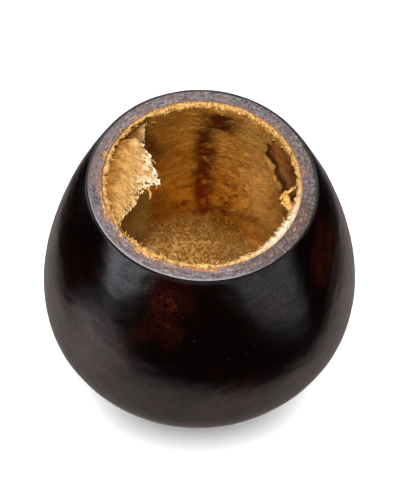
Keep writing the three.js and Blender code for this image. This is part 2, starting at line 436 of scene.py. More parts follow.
def largest_patch(keep, wrap):
    """The mask with everything but its largest connected patch removed."""
    left = keep.copy()
    best = []
    for start in zip(*np.nonzero(keep)):
        if not left[start]:
            continue
        left[start] = False
        patch, todo = [start], [start]
        while todo:
            j, i = todo.pop()
            for dj, di in ((0, 1), (0, -1), (1, 0), (-1, 0)):
                near = (j + dj, (i + di) % keep.shape[1] if wrap else i + di)
                if 0 <= near[0] < keep.shape[0] and 0 <= near[1] < keep.shape[1] and left[near]:
                    left[near] = False
                    patch.append(near)
                    todo.append(near)
        if len(patch) > len(best):
            best = patch
    kept = np.zeros_like(keep)
    kept[tuple(np.array(best).T)] = True
    return kept


def torn_layer(name, front, back, keep, wrap, pole, materials, attributes):
    """A closed layer between a front and a back grid of points, with the cells that aren't kept left out."""
    rows, sides = front.shape[:2]
    keep = largest_patch(keep, wrap)
    number = np.arange(rows * sides).reshape(rows, sides)
    if pole:
        number[-1] = number[-1, 0]
    half = rows * sides
    corner = lambda j, i: number[j, i % sides]
    faces = []

    def face(*corners):
        corners = list(dict.fromkeys(int(c) for c in corners))
        if len(corners) > 2:
            faces.append(corners)

    for j, i in zip(*np.nonzero(keep)):
        a, b, c, d = corner(j, i), corner(j, i + 1), corner(j + 1, i + 1), corner(j + 1, i)
        face(a, b, c, d)
        face(a + half, d + half, c + half, b + half)
        sides_of = (((-1, 0), b, a), ((0, 1), c, b), ((1, 0), d, c), ((0, -1), a, d))
        for (dj, di), p, q in sides_of:
            nj, ni = j + dj, (i + di) % keep.shape[1] if wrap else i + di
            outside = not (0 <= nj < keep.shape[0] and 0 <= ni < keep.shape[1])
            if pole and nj == keep.shape[0]:
                continue
            if outside or not keep[nj, ni]:
                face(p, q, q + half, p + half)
    points = np.concatenate([front.reshape(-1, 3), back.reshape(-1, 3)])
    used = np.unique(np.concatenate([np.asarray(f) for f in faces]))
    renumber = np.zeros(len(points), int)
    renumber[used] = np.arange(len(used))
    faces = [[int(renumber[c]) for c in f] for f in faces]
    values = {key: np.tile(np.asarray(v).ravel(), 2)[used] for key, v in attributes.items()}
    return new_piece(name, points[used], faces, materials, None, values)


def own(piece, slot, *nodes):
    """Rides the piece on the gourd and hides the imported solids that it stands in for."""
    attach(piece, "root")
    if nodes:
        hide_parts(*nodes)


# Materials


class Nodes:
    """A tree of nodes: each call adds nodes to it and gives back an output."""

    def feed(self, socket, value):
        """Links an output to the socket, or sets the socket's own value."""
        if isinstance(value, bpy.types.NodeSocket):
            self.tree.links.new(value, socket)
        elif socket.type == "RGBA":
            socket.default_value = (*value[:3], 1)
        else:
            socket.default_value = value

    def node(self, kind, inputs=None, **settings):
        made = self.tree.nodes.new(kind)
        for key, value in settings.items():
            setattr(made, key, value)
        for key, value in (inputs or {}).items():
            self.feed(made.inputs[key], value)
        return made

    def first(self, kind, inputs=None, **settings):
        """The first output of a new node."""
        return self.node(kind, inputs, **settings).outputs[0]

    def math(self, operation, a, b=0.0, c=0.0):
        return self.first("ShaderNodeMath", {0: a, 1: b, 2: c}, operation=operation)

    def chain(self, operation, value, *others):
        for other in others:
            value = self.math(operation, value, other)
        return value

    def times(self, *factors):
        return self.chain("MULTIPLY", *factors)

    def plus(self, *terms):
        return self.chain("ADD", *terms)

    def minus(self, a, b):
        return self.math("SUBTRACT", a, b)

    def times_plus(self, a, b, c):
        return self.math("MULTIPLY_ADD", a, b, c)

    def vector(self, operation, a, b=(0, 0, 0), output=0):
        return self.node("ShaderNodeVectorMath", {0: a, 1: b}, operation=operation).outputs[output]

    def scaled(self, vector, size):
        return self.first("ShaderNodeVectorMath", {0: vector, 3: size}, operation="SCALE")

    def combine(self, x=0.0, y=0.0, z=0.0):
        return self.first("ShaderNodeCombineXYZ", {0: x, 1: y, 2: z})


class Shader(Nodes):
    """The nodes of one material."""

    def __init__(self, name):
        self.material = bpy.data.materials.new(name)
        self.material.use_nodes = True
        self.tree = self.material.node_tree
        self.bsdf = self.tree.nodes["Principled BSDF"]
        self.place = self.node("ShaderNodeTexCoord").outputs["Object"]

    def noise(self, scale, detail=4.0, roughness=0.55, place=None, distortion=0.0):
        inputs = {
            "Vector": self.place if place is None else place,
            "Scale": scale,
            "Detail": detail,
            "Roughness": roughness,
            "Distortion": distortion,
        }
        return self.node("ShaderNodeTexNoise", inputs).outputs["Fac"]

    def cells(self, scale):
        """Distance from the middle of the nearest cell."""
        return self.node("ShaderNodeTexVoronoi", {"Vector": self.place, "Scale": scale}).outputs["Distance"]

    def range(self, value, low, high, to_low=0.0, to_high=1.0):
        inputs = {0: value, 1: low, 2: high, 3: to_low, 4: to_high}
        return self.first("ShaderNodeMapRange", inputs, interpolation_type="SMOOTHSTEP")

    def mix(self, share, a, b):
        return self.node("ShaderNodeMix", {0: share, 6: a, 7: b}, data_type="RGBA").outputs[2]

    def layers(self, colour, *laid):
        """The colour with others laid over it in turn, each by its share."""
        for share, over in laid:
            colour = self.mix(share, colour, over)
        return colour

    def attribute(self, name):
        return self.node("ShaderNodeAttribute", attribute_name=name).outputs["Fac"]

    def axes(self):
        return self.node("ShaderNodeSeparateXYZ", {0: self.place}).outputs

    def apart(self, a, b, shift=None):
        """Distance between two values, the first of them shifted or not."""
        gap = self.minus(a, b)
        return self.math("ABSOLUTE", gap if shift is None else self.plus(gap, shift))

    def distance(self, place, middle=None):
        """Distance of a place from a middle, or from the origin."""
        if middle is not None:
            place = self.vector("SUBTRACT", place, middle)
        return self.vector("LENGTH", place, output=1)

    def round_axis(self, along, radius=0.0, height=0.0):
        """Coordinates for streaks round the axis: along stretches them, radius and height part them."""
        x, y, z = self.axes()
        flat = self.combine(x, y)
        ring = self.scaled(self.vector("NORMALIZE", flat), along)
        third = self.times_plus(self.distance(flat), radius, self.times(z, height))
        return self.vector("ADD", ring, self.combine(z=third))

    def bump(self, height, distance, strength=1.0, normal=None):
        inputs = {"Height": height, "Distance": distance, "Strength": strength}
        if normal is not None:
            inputs["Normal"] = normal
        return self.first("ShaderNodeBump", inputs)

    def done(self, colour, roughness, normal=None, **constants):
        self.feed(self.bsdf.inputs["Base Color"], colour)
        self.feed(self.bsdf.inputs["Roughness"], roughness)
        if normal is not None:
            self.feed(self.bsdf.inputs["Normal"], normal)
        for key, value in constants.items():
            self.bsdf.inputs[key].default_value = value
        return self.material


def lacquer():
    """Dark stained rind under satin lacquer, with clouds of thinner stain, specks and fine scratches."""
    s, c = Shader("lacquered_rind"), finish()
    clouds = s.noise(38, 8, 0.68, distortion=0.9)
    for spot, size in THIN_STAIN:
        clouds = s.plus(clouds, s.range(s.distance(s.place, spot), 1.25 * size, 0.0, 0.0, 0.18))
    speck = s.noise(1400, 4, 0.75)
    broken = s.range(speck, 0.36, 0.66, 0.1, 1.0)
    amber = s.times(s.range(clouds, 0.58, 0.8), s.range(s.noise(150, 6, 0.75), 0.5, 0.72))
    dust = s.times(s.range(s.cells(330), 0.075, 0.05), s.range(s.noise(60, 3, 0.6), 0.48, 0.62))
    stain = s.layers(
        c.lacquer_dark,
        (s.times(s.range(clouds, 0.5, 0.76), broken), c.lacquer_red),
        (s.times(amber, broken), c.lacquer_amber),
        (s.range(speck, 0.68, 0.76, 0, 0.2), c.lacquer_amber),
        (s.times(dust, 0.3), c.lacquer_dust),
    )
    scratch_round = s.noise(1.0, 4, 0.7, s.round_axis(9, 0, 2600))
    scratch_down = s.noise(1.0, 4, 0.7, s.round_axis(150, 0, 60))
    rough = s.times_plus(s.noise(60, 5, 0.6), 0.12, 0.1)
    rough = s.plus(rough, s.range(scratch_round, 0.6, 0.75, 0, 0.08))
    fine = s.plus(s.times(scratch_round, 0.4), s.times(scratch_down, 0.5))
    normal = s.bump(s.times_plus(speck, 0.5, fine), 0.00007, 0.45)
    normal = s.bump(s.noise(26, 2, 0.5), 0.0016, 0.16, normal)
    sheen = s.plus(s.noise(75, 6, 0.7, distortion=0.6), -0.1)
    sheen = s.times_plus(scratch_round, 0.6, sheen)
    s.feed(s.bsdf.inputs["Specular IOR Level"], s.plus(speck, s.plus(sheen, -0.71)))
    return s.done(stain, rough, normal, IOR=1.5)


def sawn_rim():
    """The bare sawn face: grey-brown, speckled with pores, with saw streaks, orange fibres and a painted
    highlight along its front outer edge.
    """
    s, c = Shader("sawn_rim"), finish()
    x, y, _ = s.axes()
    inwards = s.attribute("inwards")
    streak = s.noise(1.0, 5, 0.75, s.round_axis(11, 1900, 0))
    pores = s.noise(1300, 4, 0.75)
    chips = s.noise(1000, 4, 0.75)
    grain = s.times_plus(streak, 0.55, s.times(pores, 0.45))
    fibre = s.noise(1.0, 4, 0.75, s.round_axis(24, 2900, 700))
    where = s.plus(
        s.range(inwards, 0.2, 0.9, -0.03, 0.15),
        s.range(s.noise(85, 4, 0.65), 0.4, 0.7, 0, 0.12),
        s.range(s.plus(x, y), 0.035, -0.025, 0.0, 0.06),
    )
    front_right = s.times(s.range(x, 0.006, 0.018), s.range(y, 0.004, -0.01))
    middle = s.range(s.apart(inwards, 0.5), 0.45, 0.12, 0.08, 0.195)
    where = s.times_plus(front_right, s.minus(middle, where), where)
    flecks = s.plus(s.times(fibre, 0.65), s.times(chips, 0.35), where)
    face = s.layers(
        c.rim_dark,
        (s.range(grain, 0.4, 0.53), c.rim_grey),
        (s.range(grain, 0.54, 0.62), c.rim_light),
        (s.range(s.noise(120, 4, 0.6), 0.5, 0.7, 0, 0.4), c.rim_dark),
        (s.range(s.noise(160, 5, 0.7), 0.46, 0.66, 0, 0.7), c.rim_brown),
        (s.times(s.range(x, 0.0, 0.03, 0.1, 0.75), s.range(pores, 0.54, 0.44)), c.rim_dark),
        (s.times(s.range(x, 0.01, 0.03, 0, 0.5), s.range(chips, 0.6, 0.68)), c.rim_chip),
        # Painted highlight along the front of the rim's outer edge
        (s.times(s.range(inwards, 0.09, 0.0), s.range(s.plus(x, y), 0.0, -0.02), 0.5), c.rim_edge_highlight),
        (s.times(front_right, 0.4), c.rim_dark),
        (s.range(flecks, 0.715, 0.77), c.rim_rust),
        (s.range(flecks, 0.77, 0.83), c.rim_fleck),
        (s.times(s.range(inwards, 0.13, 0.02), s.range(y, -0.02, 0.012), 0.85), c.rim_border),
    )
    height = s.plus(s.times(streak, 0.5), s.times(pores, 0.5))
    return s.done(face, 0.68, s.bump(height, 0.00022, 0.8), IOR=1.45)


def bare_inner_rind():
    """Inner wall of the rind: brown, with fibres left by the torn pith, paler low down as painted light, and
    a painted shadow along the torn pith's edge.
    """
    s, c = Shader("bare_inner_rind"), finish()
    fibres = s.noise(1.0, 5, 0.7, s.round_axis(95, 0, 190))
    cross = s.noise(260, 5, 0.65, distortion=1.2)
    tone = s.plus(s.times(fibres, 0.6), s.times(cross, 0.4))
    # Painted light: the bare rind is made paler low down
    low = s.range(s.axes()[2], 0.05, 0.036, 0, 0.8)
    dark, pale = (s.mix(low, *pair) for pair in zip(BARE_SHADES, LIT_LOW_BARE_SHADES))
    wall = s.layers(
        dark,
        (s.range(tone, 0.36, 0.62), pale),
        (s.range(tone, 0.6, 0.7, 0, 0.7), c.pith_amber),
        # Painted shadow along the torn pith's edge
        (s.times(s.attribute("tear_shadow"), 0.85), c.bare_tear_shadow),
    )
    return s.done(wall, 0.85, s.bump(tone, 0.0006, 0.9))


def pith_on_wall(s, c, base):
    """The base colour of the pith with the wall's painted light and shade, flakes, seams with painted shade
    and dark stain laid over it.
    """
    x, y, z = s.axes()
    # Painted light and shade on the wall
    for tint in WALL_LIGHT_AND_SHADE:
        shares = [s.range(axis, *tint[key]) for key, axis in (("x", x), ("z", z)) if key in tint]
        base = s.mix(s.times(*shares), base, tint["colour"])
    wobble = s.times_plus(s.noise(75, 6, 0.7), 0.01, -0.005)
    band = s.times(s.range(s.apart(x, 0.0018, wobble), 0.0058, 0.001), s.range(z, 0.068, 0.056, 0.25, 1.0))
    high = s.times(s.range(z, 0.054, 0.062), s.range(z, 0.082, 0.076))
    blot = s.times(s.range(s.apart(x, 0.0062, wobble), 0.009, 0.0015), high)
    low = s.times(s.range(z, 0.03, 0.02), s.range(s.apart(x, 0.003), 0.02, 0.005))
    spots = s.times(low, s.range(s.noise(190, 4, 0.7), 0.5, 0.6, 0, 0.9))
    mottle = s.range(s.noise(260, 5, 0.7), 0.26, 0.52)
    dark = s.times(s.chain("MAXIMUM", band, blot, spots), mottle)
    flakes = s.range(s.noise(170, 6, 0.68, distortion=2.2), 0.5, 0.62, 0.0, 0.4)
    where = s.times(s.range(x, -0.01, 0.02, 0.1, 1.0), s.range(z, 0.015, 0.035))
    # Seams between the flakes, darkened as painted shade in the creases
    shaded_seams = s.range(s.noise(150, 6, 0.7, distortion=2.6), 0.47, 0.38)
    return s.layers(
        base,
        (s.times(flakes, where), c.pith_flake),
        (s.times(shaded_seams, s.range(x, -0.012, 0.012, 0.25, 0.7)), c.pith_seam_shade),
        (s.times(dark, s.range(y, 0.012, 0.024), 0.95), c.pith_stain),
        (s.times(s.attribute("groove"), mottle, 0.6), c.pith_groove),
        (s.times(s.attribute("bed"), 0.85), c.pith_under),
    )


def pith(name, sheet=None):
    """Dried pith on the wall, or of a loose sheet with a colour of its own and painted shade towards its
    root, pale where it was cut or torn, with painted shade in its chinks and cracks.
    """
    s, c = Shader(name), finish()
    clouds = s.noise(52, 6, 0.62, distortion=0.7)
    fine = s.noise(430, 5, 0.72)
    fibres = s.noise(1.0, 5, 0.72, s.round_axis(55, 260, 480))
    tone = s.times_plus(fine, 0.55, s.times(clouds, 0.6))
    tone = s.times_plus(fibres, 0.45, tone)
    pale = s.attribute("pale")
    if sheet is None:
        depth = 0.002
        base = pith_on_wall(s, c, s.mix(s.range(tone, 0.7, 0.9), c.pith_amber, c.pith_straw))
    else:
        depth = 0.0011
        # Painted shade: the sheet darkens towards its root, where the rim shades it
        shaded_sheet = [v * k for v, k in zip(sheet, (0.52, 0.38, 0.2))]
        near = s.range(s.attribute("root"), 0.45, 0.95, 0, 0.34)
        base = s.mix(s.range(s.minus(tone, near), 0.5, 0.82), shaded_sheet, sheet)
        base = s.mix(s.times(pale, s.range(fine, 0.42, 0.6)), base, c.pith_white)
    pits = s.times(s.range(s.cells(760), 0.2, 0.05), s.range(s.noise(110, 3, 0.6), 0.5, 0.66))
    # Painted shade in the chinks of the cut edge
    shaded_chinks = s.noise(1.0, 5, 0.72, s.round_axis(65, 1100, 1100))
    cream = s.layers(
        c.pith_crust,
        (s.range(s.noise(800, 4, 0.75), 0.38, 0.56), c.pith_cream),
        (s.times(s.range(shaded_chinks, 0.455, 0.39, 0, 0.95), s.range(pale, 0.5, 0.1)), c.pith_chink_shade),
        (pale, c.pith_white),
    )
    edge = s.plus(s.attribute("edge"), s.times_plus(s.noise(520, 4, 0.75), 1.5, -0.75))
    base = s.layers(
        base,
        (s.times(pits, 0.75), c.pith_stain),
        (s.range(edge, 0.35, 0.6), cream),
        # Painted shade in the crack
        (s.attribute("shaded_crack"), c.pith_crack_shade),
    )
    height = s.times_plus(fine, 0.6, s.times(fibres, 0.5))
    height = s.times_plus(s.noise(210, 6, 0.68, distortion=2.2), 0.8, height)
    return s.done(base, 0.92, s.bump(height, depth, 1.0))


def granule_pith():
    """Granules of the bed: each its own tone, with painted light at the front and painted shade towards the
    back and the right.
    """
    s = Shader("granular_pith")
    x, y, _ = s.axes()
    # Painted light at the front of the bed and painted shade at the back and the right
    front = s.range(y, 0.03, 0.02)
    dark, pale = (s.mix(front, *pair) for pair in zip(SHADED_BACK_GRANULES, LIT_FRONT_GRANULES))
    painted_shade = s.plus(s.range(y, 0.023, 0.036, 0, 0.65), s.range(x, 0.001, 0.011, 0, 0.5))
    base = s.layers(
        dark, (s.attribute("tone"), pale), (s.math("MINIMUM", painted_shade, 1.0), finish().granule_painted_shade)
    )
    return s.done(base, 0.9, s.bump(s.noise(1500, 3, 0.7), 0.0004, 0.8))


def fibre_pith(name, shades):
    """Loose fibres, strands and crumbs, each between two shades."""
    s = Shader(name)
    base = s.mix(s.attribute("tone"), *shades)
    return s.done(base, 0.85, s.bump(s.noise(1800, 3, 0.6), 0.0001, 0.6))


# Geometry Nodes


class Growth(Nodes):
    """A Geometry Nodes tree that scatters things over a host and turns the host into them."""

    def __init__(self, host, spacing, material, seed):
        self.host = host
        self.tree = bpy.data.node_groups.new(host.name + "_growth", "GeometryNodeTree")
        for way in ("INPUT", "OUTPUT"):
            self.tree.interface.new_socket("Geometry", in_out=way, socket_type="NodeSocketGeometry")
        self.start = self.tree.nodes.new("NodeGroupInput")
        self.values = {}
        self.spacing = self.input("Spacing", "NodeSocketFloat", spacing)
        self.seed = self.input("Seed", "NodeSocketInt", seed)
        self.material = self.input("Material", "NodeSocketMaterial", material)

    def input(self, name, kind, value):
        item = self.tree.interface.new_socket(name, in_out="INPUT", socket_type=kind)
        self.values[item.identifier] = value
        return self.start.outputs[name]

    def random(self, kind, low, high, offset):
        """A random number or vector for each thing, from the seed and an offset of its own."""
        start, out = {"FLOAT": (2, 1), "FLOAT_VECTOR": (0, 0)}[kind]
        inputs = {start: low, start + 1: high, "Seed": self.plus(self.seed, float(offset))}
        return self.node("FunctionNodeRandomValue", inputs, data_type=kind).outputs[out]

    def points(self):
        """Points on the host's faces, no closer than the spacing, where its density allows."""
        thin = self.first("GeometryNodeInputNamedAttribute", {"Name": "density"}, data_type="FLOAT")
        inputs = {
            "Mesh": self.start.outputs["Geometry"],
            "Distance Min": self.spacing,
            "Density Max": MOST_POINTS,
            "Density Factor": thin,
            "Seed": self.seed,
        }
        spread = self.node("GeometryNodeDistributePointsOnFaces", inputs, distribute_method="POISSON")
        return spread.outputs["Points"], spread.outputs["Rotation"]

    def bent(self, geometry, scale, detail, far):
        """The geometry pushed about by noise."""
        push = self.node("ShaderNodeTexNoise", {"Scale": scale, "Detail": detail}).outputs["Color"]
        push = self.scaled(self.vector("SUBTRACT", push, (0.5, 0.5, 0.5)), far)
        return self.first("GeometryNodeSetPosition", {"Geometry": geometry, "Offset": push})

    def turned(self, rotation, low, high, offset):
        """The rotation turned on by a random one."""
        more = self.random("FLOAT_VECTOR", low, high, offset)
        return self.first("FunctionNodeRotateRotation", {0: rotation, 1: more}, rotation_space="LOCAL")

    def set_on(self, points, thing, turn, scale):
        """The thing on each point, with a tone of its own."""
        inputs = {"Points": points, "Instance": thing, "Rotation": turn, "Scale": scale}
        things = self.first("GeometryNodeInstanceOnPoints", inputs)
        inputs = {"Geometry": things, "Name": "tone", "Value": self.random("FLOAT", 0.0, 1.0, 11)}
        return self.first("GeometryNodeStoreNamedAttribute", inputs, data_type="FLOAT", domain="INSTANCE")

    def settle(self, geometry):
        """Turns the host into the geometry, as a plain mesh."""
        realized = self.first("GeometryNodeRealizeInstances", {0: geometry})
        smooth = self.first("GeometryNodeSetShadeSmooth", {0: realized})
        painted = self.first("GeometryNodeSetMaterial", {0: smooth, "Material": self.material})
        self.node("NodeGroupOutput", {0: painted})
        modifier = self.host.modifiers.new(self.tree.name, "NODES")
        modifier.node_group = self.tree
        for key, value in self.values.items():
            modifier[key] = value
        self.host.update_tag()
        seen = self.host.evaluated_get(bpy.context.evaluated_depsgraph_get())
        mesh = bpy.data.meshes.new_from_object(seen)
        mesh.name = self.host.name
        self.host.modifiers.remove(modifier)
        self.host.data = mesh
        if not len(mesh.polygons):
            raise RuntimeError(f"{self.host.name} came out empty")


def grow_lumps(host, spacing, size, squash, material, seed, segments, rings):
    """Scatters rough lumps over the host's faces and turns the host into them."""
    growth = Growth(host, spacing, material, seed)
    largest = growth.input("Largest radius", "NodeSocketFloat", size)
    points, lean = growth.points()
    ball = growth.first("GeometryNodeMeshUVSphere", {"Segments": segments, "Rings": rings})
    lump = growth.bent(ball, 1.3, 2.0, 1.5)
    turn = growth.turned(lean, (-0.5, -0.5, 0.0), (0.5, 0.5, FULL_TURN), 3)
    radius = growth.random("FLOAT", growth.times(largest, 0.45), largest, 5)
    long = growth.times(radius, growth.random("FLOAT", 0.8, 2.0, 6))
    scale = growth.combine(long, radius, growth.times(radius, squash))
    growth.settle(growth.set_on(points, lump, turn, scale))


def grow_fibres(host, spacing, size, radius, lie, material, seed):
    """Scatters bent fibres over the host's faces and turns the host into them."""
    growth = Growth(host, spacing, material, seed)
    longest = growth.input("Longest", "NodeSocketFloat", size)
    thick = growth.input("Radius", "NodeSocketFloat", radius)
    points, lean = growth.points()
    line = growth.first("GeometryNodeCurvePrimitiveLine", {"Start": (0, 0, 0), "End": (0, 0, 1)})
    line = growth.first("GeometryNodeResampleCurve", {"Curve": line, "Count": 8})
    line = growth.bent(line, 1.6, 1.0, 1.6)
    turn = growth.turned(lean, (0.0, 0.0, 0.0), (0.0, 0.0, FULL_TURN), 4)
    turn = growth.turned(turn, (lie, -0.5, 0.0), (1.5, 0.5, FULL_TURN), 3)
    size = growth.random("FLOAT", growth.times(longest, 0.3), longest, 5)
    curves = growth.set_on(points, line, turn, size)
    curves = growth.first("GeometryNodeRealizeInstances", {0: curves})
    ring = growth.first("GeometryNodeCurvePrimitiveCircle", {"Resolution": 4, "Radius": thick})
    inputs = {"Curve": curves, "Profile Curve": ring, "Fill Caps": True}
    growth.settle(growth.first("GeometryNodeCurveToMesh", inputs))


# Pieces


class GOURD_OT_rind(bpy.types.Operator):
    """Build the hard rind: lacquered skin, flat foot, sawn rim and bare inner wall"""

    bl_idname = "gourd.rind"
    bl_label = "Rind"

    sides = 320
    skin_rows = 118
    rim_rows = 12
    inside_rows = 56

    def execute(self, context):
        sizes = shape()
        form = Outline(sizes)
        wall = mm(sizes.rind_wall)
        angles = np.arange(self.sides) / self.sides * 2 * np.pi
        rows, kind = [], []

        def add(share, depth, surface):
            rows.append(form.wall(share, depth))
            kind.append(surface)

        top = form.cut_share(0.0, angles, RIM_EDGE)
        for share in np.linspace(0, 1, self.skin_rows):
            add(share * top, 0.0, SKIN)
        for turn in (30, 60):
            a = math.radians(turn)
            depth = RIM_EDGE * (1 - math.cos(a))
            add(form.cut_share(depth, angles, RIM_EDGE * (1 - math.sin(a))), depth, SKIN)
        for depth in np.linspace(RIM_EDGE, wall - 0.15, self.rim_rows):
            ring = on_circle(6, angles, depth * 2.2)
            add(form.cut_share(depth, angles, 0.05 + 0.06 * relief(ring, 1.0, 3)), depth, SAWN)
        edge = form.cut_share(wall, angles, 0.2)
        for share in np.linspace(1, 0, self.inside_rows):
            add(share * edge, wall, INSIDE)
        grid = np.stack([place(r, z, angles) for r, z in rows])
        skin = np.array(kind) == SKIN
        outward = grid[skin] * (1, 1, 0.3)
        outward = outward / np.maximum(np.linalg.norm(outward, axis=-1, keepdims=True), 1e-6)
        swell = 0.12 * relief(grid[skin], 17, 3) + 0.03 * relief(grid[skin], 4, 2, 9)
        grid[skin] += outward * swell[..., None] * smoothstep(grid[skin][..., 2:3], 1.0, 6.0)
        grid[skin, :, 2] = np.maximum(grid[skin, :, 2], 0)
        points = np.concatenate([grid[0, :1], grid[1:-1].reshape(-1, 3), grid[-1, :1]])
        faces, row_of = turned_faces(len(rows), self.sides)
        surface = [kind[min(row + 1, len(rows) - 1)] for row in row_of]
        sawn_rows = [self.skin_rows + 2, self.skin_rows + 1 + self.rim_rows]
        inwards = np.interp(np.arange(len(rows)), sawn_rows, [0, 1])
        inwards = np.repeat(inwards[1:-1], self.sides)
        turn = np.arctan2(points[:, 1], points[:, 0])
        near = tear_field(RIGHT_TEAR, turn, points[:, 2])
        across = turn_from(turn, RIGHT_TEAR["angle"]) / RIGHT_TEAR["half_angle"]
        up = (points[:, 2] - RIGHT_TEAR["height"]) / RIGHT_TEAR["half_height"]
        # Painted shadow on the bare rind along the tear's lower side, under the lifted pith edge
        tear_shadow = smoothstep(near, 0.8, 0.93) * smoothstep(across - up, 0.3, 1.0)
        marks = {"inwards": np.concatenate([[0], inwards, [1]]), "tear_shadow": tear_shadow}
        finishes = [lacquer(), sawn_rim(), bare_inner_rind()]
        piece = new_piece("rind_shell", points, faces, finishes, surface, marks)
        own(piece, "rind", "rind")
        return {"FINISHED"}


def pith_grid(sizes, sides, rows):
    """Front and back of the pith on the wall and over the bottom, with masks for its edges."""
    form = Outline(sizes)
    wall_depth = mm(sizes.rind_wall)
    back_depth = wall_depth + mm(sizes.pith_gap)
    wall = mm(sizes.pith_wall)
    angles = np.arange(sides) / sides * 2 * np.pi
    ring = on_circle(26, angles, 0)
    below = 0.4 + 0.35 * relief(ring, 2.6, 4) + 0.15 * ragged(angles) + 1.2 * near_angle(angles, NOTCH, 6)
    below = below + 0.3 * relief(ring, 0.8, 3, 2)
    below = np.maximum(below, 0.12)
    top = form.cut_share(back_depth + wall, angles, below)
    along = 1 - np.linspace(0, 1, rows) ** 1.5
    share = along[:, None] * top[None, :]
    angle = np.broadcast_to(angles, share.shape)
    r0, z0 = form.wall(share, back_depth)
    base = place(r0, z0, angle)
    skin_r = np.interp(share, form.share, form.r)
    skin_z = np.interp(share, form.share, form.z)
    lowered = skin_z < mm(sizes.widest_height)
    bed_end = mm(sizes.bed_radius)
    bed = smoothstep(bed_end + 1.5 - skin_r, 0, 3) * lowered
    grains_end = bed_end + 4.2 - 7 * near_angle(angle, BED_SHORT, 17)
    grains = smoothstep(grains_end - skin_r, 0, 3) * lowered
    groove = bump(skin_r, bed_end + 4.8, 1.3) * lowered * (0.35 + 0.65 * near_angle(angle, GROOVE, 24))
    drop = (top[None, :] - share) * form.length
    thick = wall + mm(bed * sizes.bed_depth)
    thick = thick + 0.5 * relief(base, 9, 4) + 0.35 * relief(base, 2.6, 4, 5) - 0.5 * groove
    lip = 1.15 + 1.1 * near_angle(angle, PALE_LIP, 24) + 0.35 * near_angle(angle, FRONT_LIP, 40)
    lip = lip + 0.7 * near_angle(angle, FLUFFY_LIP, 16) + 0.85 * relief(base, 2.0, 4, 11)
    from_crack = turn_from(angle, CRACK)
    beside = smoothstep(from_crack, -20, -13) * smoothstep(from_crack, 22, 14)
    lip = lip - 0.35 * beside
    body = smoothstep(drop, 0.2, 4.5)
    thick = thick * body + lip * (1 - body)
    # The crack is a thinner groove in the pith and also carries painted shade
    shaded_crack = smoothstep(drop, 0.5, 0.9) * smoothstep(drop, 6, 4.5) * beside
    thick = np.maximum(thick - 1.5 * shaded_crack, 0.25)
    right = tear_field(RIGHT_TEAR, angle, z0)
    left = tear_field(LEFT_TEAR, angle, z0)
    lift = 0.7 * np.exp(-np.maximum(right - 1, 0) * 4.5) * smoothstep(turn_from(angle, TEAR_LIFT), 0, 12)
    lift = lift + 0.8 * np.exp(-np.maximum(left - 1, 0) * 6)
    grown = wall_depth + 0.03 + (back_depth - wall_depth - 0.03) * smoothstep(drop, 1.5, 5)
    front = place(*form.wall(share, grown + lift + thick), angle)
    back = place(*form.wall(share, grown + lift), angle)
    return {
        "front": front, "back": back, "angle": angle, "height": z0, "right": right, "left": left,
        "bed": bed, "grains": grains, "groove": groove, "drop": drop, "share": share, "shaded_crack": shaded_crack,
    }


def snap_to_tear(grid, keep, tear, field):
    """Moves the points round a hole onto the tear's own outline."""
    near = np.zeros(grid["height"].shape)
    for dj in (0, 1):
        for di in (0, 1):
            near[dj : dj + keep.shape[0]] += np.roll(keep, di, axis=1)
    rim = (near > 0) & (near < 4) & (abs(grid[field] - 1) < 0.25)
    rim[0] = rim[-1] = False
    turn = turn_from(grid["angle"], tear["angle"])
    shrink = 1 / grid[field] - 1
    delta_angle = np.radians(turn * shrink)
    delta_z = (grid["height"] - tear["height"]) * shrink
    for side in ("front", "back"):
        p = grid[side]
        r = np.hypot(p[..., 0], p[..., 1])
        slope = np.gradient(r, axis=0) / np.minimum(np.gradient(p[..., 2], axis=0), -1e-3)
        new_r = r + np.clip(slope * delta_z, -2, 2)
        new_a = np.arctan2(p[..., 1], p[..., 0]) + delta_angle
        moved = on_circle(new_r, new_a, p[..., 2] + delta_z)
        p[rim] = moved[rim]


class GOURD_OT_pith(bpy.types.Operator):
    """Build the dried pith on the wall and the bottom, with its two torn places"""

    bl_idname = "gourd.pith"
    bl_label = "Pith lining"

    sides = 400
    rows = 118

    def execute(self, context):
        grid = pith_grid(shape(), self.sides, self.rows)
        holes = np.minimum(grid["right"], grid["left"])
        middle = (holes[:-1] + holes[1:]) / 2
        keep = (middle + np.roll(middle, -1, axis=1)) / 2 > 1
        snap_to_tear(grid, keep, RIGHT_TEAR, "right")
        snap_to_tear(grid, keep, LEFT_TEAR, "left")
        fluff = 1 + 1.6 * near_angle(grid["angle"], FLUFFY_LIP, 24)
        edge = np.exp(-grid["drop"] / (1.2 * fluff))
        torn = 0.25 * np.exp(-np.maximum(holes - 1, 0) * 22)
        pale = near_angle(grid["angle"], PALE_LIP, 26) * smoothstep(grid["drop"], 3, 0)
        attributes = {"edge": np.maximum(edge, torn), "pale": pale, "shaded_crack": grid["shaded_crack"]}
        attributes.update(bed=grid["grains"], groove=grid["groove"])
        layer = grid["front"], grid["back"], keep
        piece = torn_layer("pith_wall", *layer, True, True, [pith("dried_pith")], attributes)
        own(piece, "pith", "pith_lining")
        return {"FINISHED"}


def through(points, count):
    """Rows of numbers, smoothly through the given ones."""
    points = np.array(points, float)
    spots = np.linspace(0, len(points) - 1, count)
    first = np.minimum(spots.astype(int), len(points) - 2)
    t = (spots - first)[:, None]
    pick = lambda offset: points[np.clip(first + offset, 0, len(points) - 1)]
    a, b, c, d = pick(-1), pick(0), pick(1), pick(2)
    return b + 0.5 * t * (c - a + t * (2 * a - 5 * b + 4 * c - d + t * (3 * (b - c) + d - a)))


